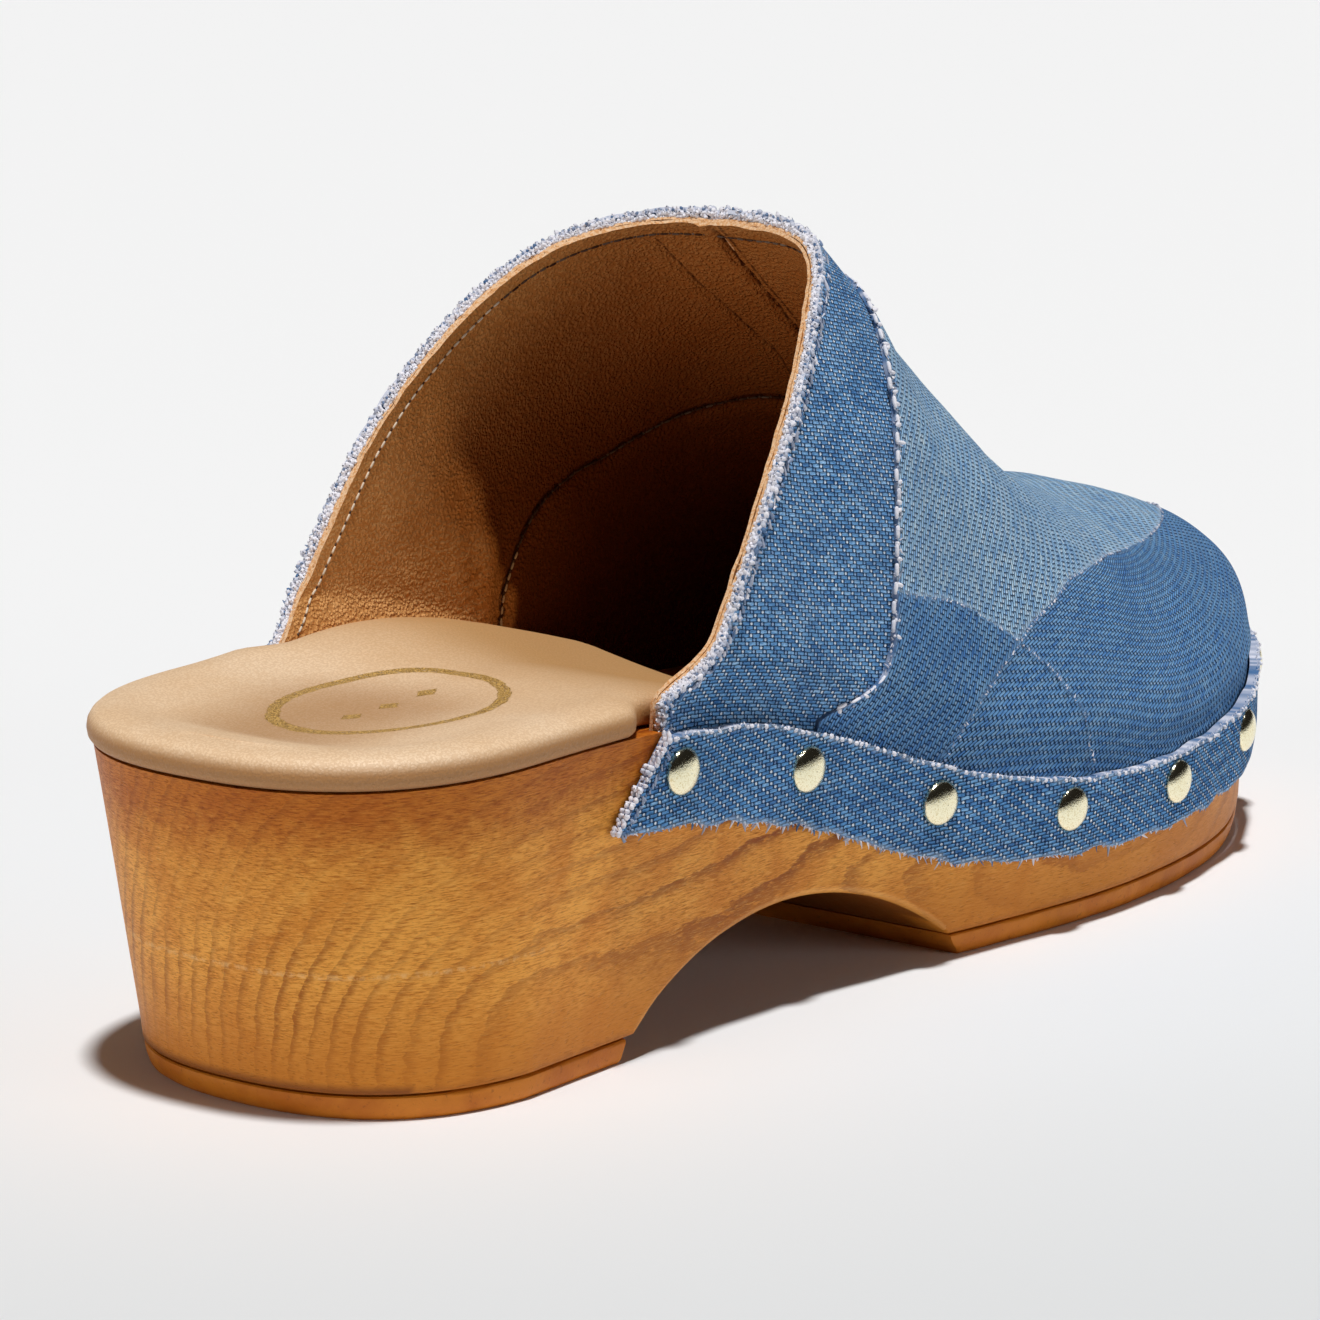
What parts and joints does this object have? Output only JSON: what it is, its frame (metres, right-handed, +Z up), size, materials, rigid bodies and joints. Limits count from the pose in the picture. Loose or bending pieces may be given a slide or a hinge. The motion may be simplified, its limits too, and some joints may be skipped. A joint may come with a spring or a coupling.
{
  "type": "heeled clog",
  "caption": "Right heeled clog: wooden sole with block heel and arch, padded leather insole, closed patched-denim upper lined with leather, nailed denim band with brass tacks",
  "frame": {"origin": "centre of the shoe's bounding box, on the floor under it", "axes": "+Y points to the toe, +X to the lateral (outer) side of this right shoe, +Z up"},
  "size_m": [0.1004, 0.2604, 0.1143],
  "materials": {
    "wood": "satin honey stain",
    "rubber": "matt, honey-coloured",
    "insole_leather": "smooth tan",
    "denim": "washed blue twill, leather-lined",
    "band_denim": "washed blue twill with frayed edges",
    "brass": "polished"
  },
  "bodies": {
    "root": {"sole": "wood", "heel_tread": "rubber", "forefoot_tread": "rubber", "insole": "insole_leather", "upper": "denim", "band": "band_denim", "tack_01": "brass", "tack_02": "brass", "tack_03": "brass", "tack_04": "brass", "tack_05": "brass", "tack_06": "brass", "tack_07": "brass", "tack_08": "brass", "tack_09": "brass", "tack_10": "brass", "tack_11": "brass", "tack_12": "brass", "tack_13": "brass", "tack_14": "brass", "tack_15": "brass"}
  },
  "joints": []
}
